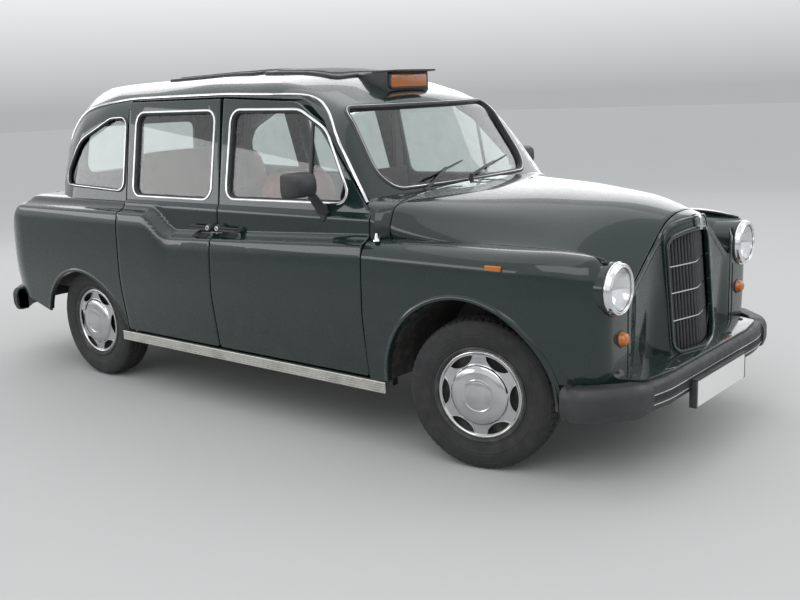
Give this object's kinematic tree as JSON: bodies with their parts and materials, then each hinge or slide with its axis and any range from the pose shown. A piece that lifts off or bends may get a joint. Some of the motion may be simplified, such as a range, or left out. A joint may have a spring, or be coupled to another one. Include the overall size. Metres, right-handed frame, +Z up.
{
  "type": "taxi cab",
  "caption": "Purpose-built taxi cab with a tall cab, rear-hinged rear doors, upright grille, roof sign and steered front wheels; doors, bonnet and boot lid open.",
  "frame": {"origin": "on the ground, under the middle of the cab's length and width", "axes": "+X forward, +Y to the cab's left, +Z up"},
  "size_m": [4.61, 2.03, 1.784],
  "materials": {
    "green_paint": "gloss, very dark green",
    "window_glass": "clear, faint green",
    "lamp_glass": "clear, fluted",
    "amber_lens": "gloss, amber",
    "red_lens": "gloss, red",
    "bright_trim": "polished",
    "sill_aluminium": "ribbed, satin",
    "black_plastic": "grained, weathered",
    "plate_white": "gloss, blank",
    "plate_yellow": "gloss, blank",
    "chassis_black": "satin black",
    "engine_iron": "as cast",
    "exhaust_steel": "dull",
    "cabin_trim": "grained",
    "seat_vinyl": "smooth, dark red",
    "tyre_rubber": "matt",
    "wheel_chrome": "polished covers"
  },
  "bodies": {
    "root": {"cab_shell": "green_paint", "door_frames": "green_paint", "fixed_glass": "window_glass", "floor_pan": "chassis_black", "scuttle": "green_paint", "front_wings": "green_paint", "front_panel": "green_paint", "grille": "black_plastic", "tail_panel": "green_paint", "rear_wings": "green_paint", "front_bumper": "black_plastic", "rear_bumper": "black_plastic", "front_plate": "plate_white", "headlamp_rings": "bright_trim", "headlamp_lenses": "lamp_glass", "amber_lenses": "amber_lens", "tail_lamps": "red_lens", "roof_sign": "black_plastic", "roof_hatches": "black_plastic", "drip_rails": "bright_trim", "sill_trims": "sill_aluminium", "wipers": "black_plastic", "chassis_frame": "chassis_black", "front_suspension": "chassis_black", "driveline": "engine_iron", "rear_axle": "chassis_black", "exhaust": "exhaust_steel", "fuel_tank": "chassis_black", "dashboard": "cabin_trim", "seats": "seat_vinyl", "partition": "cabin_trim"},
    "front_door_left_body": {"front_door_left": "green_paint", "front_door_glass_left": "window_glass", "front_door_fittings_left": "black_plastic"},
    "front_door_right_body": {"front_door_right": "green_paint", "front_door_glass_right": "window_glass", "front_door_fittings_right": "black_plastic"},
    "rear_door_left_body": {"rear_door_left": "green_paint", "rear_door_glass_left": "window_glass", "rear_door_handle_left": "black_plastic"},
    "rear_door_right_body": {"rear_door_right": "green_paint", "rear_door_glass_right": "window_glass", "rear_door_handle_right": "black_plastic"},
    "bonnet_body": {"bonnet": "green_paint"},
    "boot_lid_body": {"boot_lid": "green_paint", "rear_plate": "plate_yellow"},
    "steering_wheel_body": {"steering_wheel": "cabin_trim"},
    "knuckle_left_body": {"knuckle_left": "chassis_black"},
    "knuckle_right_body": {"knuckle_right": "chassis_black"},
    "track_rod_body": {"track_rod": "chassis_black"},
    "wheel_front_left_body": {"tyre_front_left": "tyre_rubber", "wheel_front_left": "wheel_chrome"},
    "wheel_front_right_body": {"tyre_front_right": "tyre_rubber", "wheel_front_right": "wheel_chrome"},
    "wheel_rear_left_body": {"tyre_rear_left": "tyre_rubber", "wheel_rear_left": "wheel_chrome"},
    "wheel_rear_right_body": {"tyre_rear_right": "tyre_rubber", "wheel_rear_right": "wheel_chrome"}
  },
  "joints": [
    {"name": "front_door_left_hinge", "type": "hinge", "parent": "root", "child": "front_door_left_body", "pos_m": [0.967, 0.874, 0.7], "axis": [0, 0, -1], "range_deg": [0, 65]},
    {"name": "front_door_right_hinge", "type": "hinge", "parent": "root", "child": "front_door_right_body", "pos_m": [0.967, -0.874, 0.7], "axis": [0, 0, 1], "range_deg": [0, 65]},
    {"name": "rear_door_left_hinge", "type": "hinge", "parent": "root", "child": "rear_door_left_body", "pos_m": [-0.89, 0.874, 0.7], "axis": [0, 0, 1], "range_deg": [0, 75]},
    {"name": "rear_door_right_hinge", "type": "hinge", "parent": "root", "child": "rear_door_right_body", "pos_m": [-0.89, -0.874, 0.7], "axis": [0, 0, -1], "range_deg": [0, 75]},
    {"name": "bonnet_hinge", "type": "hinge", "parent": "root", "child": "bonnet_body", "pos_m": [1.046, 0, 1.194], "axis": [0, -1, 0], "range_deg": [0, 55]},
    {"name": "boot_lid_hinge", "type": "hinge", "parent": "root", "child": "boot_lid_body", "pos_m": [-1.951, 0, 1.064], "axis": [0, 1, 0], "range_deg": [0, 80]},
    {"name": "steer_left", "type": "hinge", "parent": "root", "child": "knuckle_left_body", "pos_m": [1.515, 0.64, 0.338], "axis": [0, 0, 1], "range_deg": [-57, 33]},
    {"name": "steer_right", "type": "hinge", "parent": "root", "child": "knuckle_right_body", "pos_m": [1.515, -0.64, 0.338], "axis": [0, 0, 1], "range_deg": [-57, 33]},
    {"name": "track_rod_pivot", "type": "hinge", "parent": "knuckle_left_body", "child": "track_rod_body", "pos_m": [1.39762, 0.61505, 0.25], "axis": [0, 0, 1], "range_deg": [-33, 57]},
    {"name": "steering_wheel_turn", "type": "hinge", "parent": "root", "child": "steering_wheel_body", "pos_m": [0.555, -0.37, 1.06], "axis": [-0.7939, 0, 0.6081], "range_deg": [-798, 462]},
    {"name": "front_wheel_left_spin", "type": "hinge", "parent": "knuckle_left_body", "child": "wheel_front_left_body", "pos_m": [1.50024, 0.70945, 0.338], "axis": [-0.2079, 0.9781, 0], "continuous": true},
    {"name": "front_wheel_right_spin", "type": "hinge", "parent": "knuckle_right_body", "child": "wheel_front_right_body", "pos_m": [1.52976, -0.70945, 0.338], "axis": [-0.2079, 0.9781, 0], "continuous": true},
    {"name": "rear_wheel_left_spin", "type": "hinge", "parent": "root", "child": "wheel_rear_left_body", "pos_m": [-1.295, 0.711, 0.338], "axis": [0, 1, 0], "continuous": true},
    {"name": "rear_wheel_right_spin", "type": "hinge", "parent": "root", "child": "wheel_rear_right_body", "pos_m": [-1.295, -0.711, 0.338], "axis": [0, 1, 0], "continuous": true}
  ],
  "couplings": [
    {"joint": "steer_right", "follows": "steer_left", "ratio": 1},
    {"joint": "track_rod_pivot", "follows": "steer_left", "ratio": -1},
    {"joint": "steering_wheel_turn", "follows": "steer_left", "ratio": 14}
  ]
}
